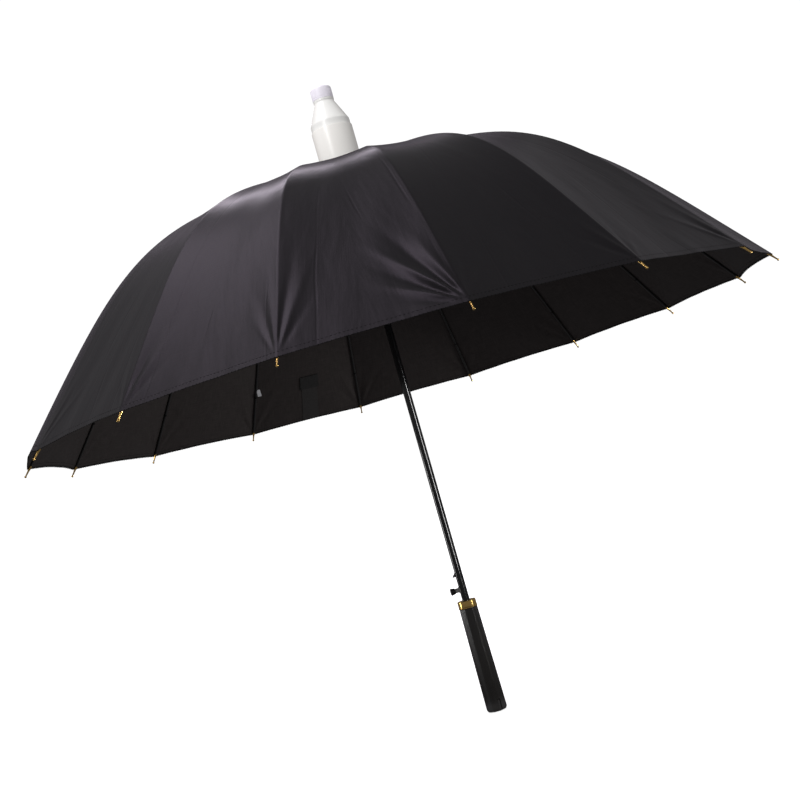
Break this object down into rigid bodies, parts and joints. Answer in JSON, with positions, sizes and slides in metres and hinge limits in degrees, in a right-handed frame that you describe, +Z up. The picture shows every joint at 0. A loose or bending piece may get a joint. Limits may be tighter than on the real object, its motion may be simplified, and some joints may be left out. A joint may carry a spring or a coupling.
{
  "type": "automatic umbrella",
  "caption": "Straight automatic umbrella, open: domed black canopy on curved ribs and stretchers, slim shaft with runner, press button and catch, octagonal handle, telescopic drip cover.",
  "frame": {"origin": "centre of the handle's foot", "axes": "+Z up the shaft; rib_01 lies along +X; the release button is on the -Y side"},
  "size_m": [1.001, 1.001, 0.858],
  "materials": {
    "black_paint": "gloss black",
    "black_gloss": "gloss black",
    "black_plastic": "satin black",
    "grey_plastic": "satin grey",
    "grey_steel": "satin steel",
    "spring_steel": "drawn steel wire",
    "gold": "polished gold colour",
    "rib_metal": "satin black",
    "black_cloth": "fine woven black polyester cloth",
    "frosted_plastic": "frosted translucent",
    "pale_plastic": "satin pale lilac white"
  },
  "bodies": {
    "frame": {"shaft": "black_paint", "handle": "black_gloss", "handle_ring": "gold", "crown": "black_plastic", "button_collar": "grey_plastic", "opening_spring": "spring_steel", "cover_outer_section": "frosted_plastic"},
    "runner": {"runner": "black_plastic"},
    "button": {"release_button": "black_gloss"},
    "catch": {"catch_leaf": "grey_steel"},
    "cover_top": {"cover_top_section": "frosted_plastic"},
    "cap": {"cover_cap": "pale_plastic"},
    "rib_01": {"rib_01": "rib_metal", "canopy_panel_01": "black_cloth"},
    "stretcher_01": {"stretcher_01": "rib_metal"},
    "rib_02": {"rib_02": "rib_metal", "canopy_panel_02": "black_cloth"},
    "stretcher_02": {"stretcher_02": "rib_metal"},
    "rib_03": {"rib_03": "rib_metal", "canopy_panel_03": "black_cloth"},
    "stretcher_03": {"stretcher_03": "rib_metal"},
    "rib_04": {"rib_04": "rib_metal", "canopy_panel_04": "black_cloth"},
    "stretcher_04": {"stretcher_04": "rib_metal"},
    "rib_05": {"rib_05": "rib_metal", "canopy_panel_05": "black_cloth"},
    "stretcher_05": {"stretcher_05": "rib_metal"},
    "rib_06": {"rib_06": "rib_metal", "canopy_panel_06": "black_cloth"},
    "stretcher_06": {"stretcher_06": "rib_metal"},
    "rib_07": {"rib_07": "rib_metal", "canopy_panel_07": "black_cloth"},
    "stretcher_07": {"stretcher_07": "rib_metal"},
    "rib_08": {"rib_08": "rib_metal", "canopy_panel_08": "black_cloth"},
    "stretcher_08": {"stretcher_08": "rib_metal"},
    "rib_09": {"rib_09": "rib_metal", "canopy_panel_09": "black_cloth"},
    "stretcher_09": {"stretcher_09": "rib_metal"},
    "rib_10": {"rib_10": "rib_metal", "canopy_panel_10": "black_cloth"},
    "stretcher_10": {"stretcher_10": "rib_metal"},
    "rib_11": {"rib_11": "rib_metal", "canopy_panel_11": "black_cloth"},
    "stretcher_11": {"stretcher_11": "rib_metal"},
    "rib_12": {"rib_12": "rib_metal", "canopy_panel_12": "black_cloth"},
    "stretcher_12": {"stretcher_12": "rib_metal"},
    "rib_13": {"rib_13": "rib_metal", "canopy_panel_13": "black_cloth"},
    "stretcher_13": {"stretcher_13": "rib_metal"},
    "rib_14": {"rib_14": "rib_metal", "canopy_panel_14": "black_cloth"},
    "stretcher_14": {"stretcher_14": "rib_metal"},
    "rib_15": {"rib_15": "rib_metal", "canopy_panel_15": "black_cloth"},
    "stretcher_15": {"stretcher_15": "rib_metal"},
    "rib_16": {"rib_16": "rib_metal", "canopy_panel_16": "black_cloth"},
    "stretcher_16": {"stretcher_16": "rib_metal"}
  },
  "joints": [
    {"name": "runner_slide", "type": "slide", "parent": "frame", "child": "runner", "axis": [0, 0, -1], "range_m": [0, 0.361], "stiffness_N_per_m": 80, "springref_m": -0.3, "deforming": ["opening_spring", "canopy_panel_01", "canopy_panel_02", "canopy_panel_03", "canopy_panel_04", "canopy_panel_05", "canopy_panel_06", "canopy_panel_07", "canopy_panel_08", "canopy_panel_09", "canopy_panel_10", "canopy_panel_11", "canopy_panel_12", "canopy_panel_13", "canopy_panel_14", "canopy_panel_15", "canopy_panel_16"]},
    {"name": "button_press", "type": "slide", "parent": "frame", "child": "button", "axis": [0, 1, 0], "range_m": [0, 0.0029], "stiffness_N_per_m": 300, "springref_m": -0.002},
    {"name": "catch_tilt", "type": "hinge", "parent": "frame", "child": "catch", "pos_m": [0, -0.00343, 0.105], "axis": [-1, 0, 0], "range_deg": [0, 2.86]},
    {"name": "cover_top_slide", "type": "slide", "parent": "frame", "child": "cover_top", "axis": [0, 0, 1], "range_m": [0, 0.045]},
    {"name": "cover_cap_lift", "type": "slide", "parent": "cover_top", "child": "cap", "axis": [0, 0, 1], "range_m": [0, 0.03]},
    {"name": "rib_hinge_01", "type": "hinge", "parent": "frame", "child": "rib_01", "pos_m": [0.0115, 0, 0.741], "axis": [0, 1, 0], "range_deg": [0, 58.48]},
    {"name": "stretcher_hinge_01", "type": "hinge", "parent": "rib_01", "child": "stretcher_01", "pos_m": [0.26986, 0, 0.67947], "axis": [0, 1, 0], "range_deg": [-112.19, 0]},
    {"name": "rib_hinge_02", "type": "hinge", "parent": "frame", "child": "rib_02", "pos_m": [0.01062, 0.0044, 0.741], "axis": [-0.3827, 0.9239, 0], "range_deg": [0, 58.48]},
    {"name": "stretcher_hinge_02", "type": "hinge", "parent": "rib_02", "child": "stretcher_02", "pos_m": [0.24931, 0.10327, 0.67947], "axis": [-0.3827, 0.9239, 0], "range_deg": [-112.19, 0]},
    {"name": "rib_hinge_03", "type": "hinge", "parent": "frame", "child": "rib_03", "pos_m": [0.00813, 0.00813, 0.741], "axis": [-0.7071, 0.7071, 0], "range_deg": [0, 58.48]},
    {"name": "stretcher_hinge_03", "type": "hinge", "parent": "rib_03", "child": "stretcher_03", "pos_m": [0.19082, 0.19082, 0.67947], "axis": [-0.7071, 0.7071, 0], "range_deg": [-112.19, 0]},
    {"name": "rib_hinge_04", "type": "hinge", "parent": "frame", "child": "rib_04", "pos_m": [0.0044, 0.01062, 0.741], "axis": [-0.9239, 0.3827, 0], "range_deg": [0, 58.48]},
    {"name": "stretcher_hinge_04", "type": "hinge", "parent": "rib_04", "child": "stretcher_04", "pos_m": [0.10327, 0.24931, 0.67947], "axis": [-0.9239, 0.3827, 0], "range_deg": [-112.19, 0]},
    {"name": "rib_hinge_05", "type": "hinge", "parent": "frame", "child": "rib_05", "pos_m": [0, 0.0115, 0.741], "axis": [-1, 0, 0], "range_deg": [0, 58.48]},
    {"name": "stretcher_hinge_05", "type": "hinge", "parent": "rib_05", "child": "stretcher_05", "pos_m": [0, 0.26986, 0.67947], "axis": [-1, 0, 0], "range_deg": [-112.19, 0]},
    {"name": "rib_hinge_06", "type": "hinge", "parent": "frame", "child": "rib_06", "pos_m": [-0.0044, 0.01062, 0.741], "axis": [-0.9239, -0.3827, 0], "range_deg": [0, 58.48]},
    {"name": "stretcher_hinge_06", "type": "hinge", "parent": "rib_06", "child": "stretcher_06", "pos_m": [-0.10327, 0.24931, 0.67947], "axis": [-0.9239, -0.3827, 0], "range_deg": [-112.19, 0]},
    {"name": "rib_hinge_07", "type": "hinge", "parent": "frame", "child": "rib_07", "pos_m": [-0.00813, 0.00813, 0.741], "axis": [-0.7071, -0.7071, 0], "range_deg": [0, 58.48]},
    {"name": "stretcher_hinge_07", "type": "hinge", "parent": "rib_07", "child": "stretcher_07", "pos_m": [-0.19082, 0.19082, 0.67947], "axis": [-0.7071, -0.7071, 0], "range_deg": [-112.19, 0]},
    {"name": "rib_hinge_08", "type": "hinge", "parent": "frame", "child": "rib_08", "pos_m": [-0.01062, 0.0044, 0.741], "axis": [-0.3827, -0.9239, 0], "range_deg": [0, 58.48]},
    {"name": "stretcher_hinge_08", "type": "hinge", "parent": "rib_08", "child": "stretcher_08", "pos_m": [-0.24931, 0.10327, 0.67947], "axis": [-0.3827, -0.9239, 0], "range_deg": [-112.19, 0]},
    {"name": "rib_hinge_09", "type": "hinge", "parent": "frame", "child": "rib_09", "pos_m": [-0.0115, 0, 0.741], "axis": [0, -1, 0], "range_deg": [0, 58.48]},
    {"name": "stretcher_hinge_09", "type": "hinge", "parent": "rib_09", "child": "stretcher_09", "pos_m": [-0.26986, 0, 0.67947], "axis": [0, -1, 0], "range_deg": [-112.19, 0]},
    {"name": "rib_hinge_10", "type": "hinge", "parent": "frame", "child": "rib_10", "pos_m": [-0.01062, -0.0044, 0.741], "axis": [0.3827, -0.9239, 0], "range_deg": [0, 58.48]},
    {"name": "stretcher_hinge_10", "type": "hinge", "parent": "rib_10", "child": "stretcher_10", "pos_m": [-0.24931, -0.10327, 0.67947], "axis": [0.3827, -0.9239, 0], "range_deg": [-112.19, 0]},
    {"name": "rib_hinge_11", "type": "hinge", "parent": "frame", "child": "rib_11", "pos_m": [-0.00813, -0.00813, 0.741], "axis": [0.7071, -0.7071, 0], "range_deg": [0, 58.48]},
    {"name": "stretcher_hinge_11", "type": "hinge", "parent": "rib_11", "child": "stretcher_11", "pos_m": [-0.19082, -0.19082, 0.67947], "axis": [0.7071, -0.7071, 0], "range_deg": [-112.19, 0]},
    {"name": "rib_hinge_12", "type": "hinge", "parent": "frame", "child": "rib_12", "pos_m": [-0.0044, -0.01062, 0.741], "axis": [0.9239, -0.3827, 0], "range_deg": [0, 58.48]},
    {"name": "stretcher_hinge_12", "type": "hinge", "parent": "rib_12", "child": "stretcher_12", "pos_m": [-0.10327, -0.24931, 0.67947], "axis": [0.9239, -0.3827, 0], "range_deg": [-112.19, 0]},
    {"name": "rib_hinge_13", "type": "hinge", "parent": "frame", "child": "rib_13", "pos_m": [0, -0.0115, 0.741], "axis": [1, 0, 0], "range_deg": [0, 58.48]},
    {"name": "stretcher_hinge_13", "type": "hinge", "parent": "rib_13", "child": "stretcher_13", "pos_m": [0, -0.26986, 0.67947], "axis": [1, 0, 0], "range_deg": [-112.19, 0]},
    {"name": "rib_hinge_14", "type": "hinge", "parent": "frame", "child": "rib_14", "pos_m": [0.0044, -0.01062, 0.741], "axis": [0.9239, 0.3827, 0], "range_deg": [0, 58.48]},
    {"name": "stretcher_hinge_14", "type": "hinge", "parent": "rib_14", "child": "stretcher_14", "pos_m": [0.10327, -0.24931, 0.67947], "axis": [0.9239, 0.3827, 0], "range_deg": [-112.19, 0]},
    {"name": "rib_hinge_15", "type": "hinge", "parent": "frame", "child": "rib_15", "pos_m": [0.00813, -0.00813, 0.741], "axis": [0.7071, 0.7071, 0], "range_deg": [0, 58.48]},
    {"name": "stretcher_hinge_15", "type": "hinge", "parent": "rib_15", "child": "stretcher_15", "pos_m": [0.19082, -0.19082, 0.67947], "axis": [0.7071, 0.7071, 0], "range_deg": [-112.19, 0]},
    {"name": "rib_hinge_16", "type": "hinge", "parent": "frame", "child": "rib_16", "pos_m": [0.01062, -0.0044, 0.741], "axis": [0.3827, 0.9239, 0], "range_deg": [0, 58.48]},
    {"name": "stretcher_hinge_16", "type": "hinge", "parent": "rib_16", "child": "stretcher_16", "pos_m": [0.24931, -0.10327, 0.67947], "axis": [0.3827, 0.9239, 0], "range_deg": [-112.19, 0]}
  ],
  "couplings": [
    {"joint": "catch_tilt", "follows": "button_press", "rad_per_m": 17.225},
    {"joint": "rib_hinge_01", "follows": "runner_slide", "rad_per_m": 2.8273},
    {"joint": "stretcher_hinge_01", "follows": "runner_slide", "rad_per_m": -5.4242},
    {"joint": "rib_hinge_02", "follows": "runner_slide", "rad_per_m": 2.8273},
    {"joint": "stretcher_hinge_02", "follows": "runner_slide", "rad_per_m": -5.4242},
    {"joint": "rib_hinge_03", "follows": "runner_slide", "rad_per_m": 2.8273},
    {"joint": "stretcher_hinge_03", "follows": "runner_slide", "rad_per_m": -5.4242},
    {"joint": "rib_hinge_04", "follows": "runner_slide", "rad_per_m": 2.8273},
    {"joint": "stretcher_hinge_04", "follows": "runner_slide", "rad_per_m": -5.4242},
    {"joint": "rib_hinge_05", "follows": "runner_slide", "rad_per_m": 2.8273},
    {"joint": "stretcher_hinge_05", "follows": "runner_slide", "rad_per_m": -5.4242},
    {"joint": "rib_hinge_06", "follows": "runner_slide", "rad_per_m": 2.8273},
    {"joint": "stretcher_hinge_06", "follows": "runner_slide", "rad_per_m": -5.4242},
    {"joint": "rib_hinge_07", "follows": "runner_slide", "rad_per_m": 2.8273},
    {"joint": "stretcher_hinge_07", "follows": "runner_slide", "rad_per_m": -5.4242},
    {"joint": "rib_hinge_08", "follows": "runner_slide", "rad_per_m": 2.8273},
    {"joint": "stretcher_hinge_08", "follows": "runner_slide", "rad_per_m": -5.4242},
    {"joint": "rib_hinge_09", "follows": "runner_slide", "rad_per_m": 2.8273},
    {"joint": "stretcher_hinge_09", "follows": "runner_slide", "rad_per_m": -5.4242},
    {"joint": "rib_hinge_10", "follows": "runner_slide", "rad_per_m": 2.8273},
    {"joint": "stretcher_hinge_10", "follows": "runner_slide", "rad_per_m": -5.4242},
    {"joint": "rib_hinge_11", "follows": "runner_slide", "rad_per_m": 2.8273},
    {"joint": "stretcher_hinge_11", "follows": "runner_slide", "rad_per_m": -5.4242},
    {"joint": "rib_hinge_12", "follows": "runner_slide", "rad_per_m": 2.8273},
    {"joint": "stretcher_hinge_12", "follows": "runner_slide", "rad_per_m": -5.4242},
    {"joint": "rib_hinge_13", "follows": "runner_slide", "rad_per_m": 2.8273},
    {"joint": "stretcher_hinge_13", "follows": "runner_slide", "rad_per_m": -5.4242},
    {"joint": "rib_hinge_14", "follows": "runner_slide", "rad_per_m": 2.8273},
    {"joint": "stretcher_hinge_14", "follows": "runner_slide", "rad_per_m": -5.4242},
    {"joint": "rib_hinge_15", "follows": "runner_slide", "rad_per_m": 2.8273},
    {"joint": "stretcher_hinge_15", "follows": "runner_slide", "rad_per_m": -5.4242},
    {"joint": "rib_hinge_16", "follows": "runner_slide", "rad_per_m": 2.8273},
    {"joint": "stretcher_hinge_16", "follows": "runner_slide", "rad_per_m": -5.4242}
  ]
}
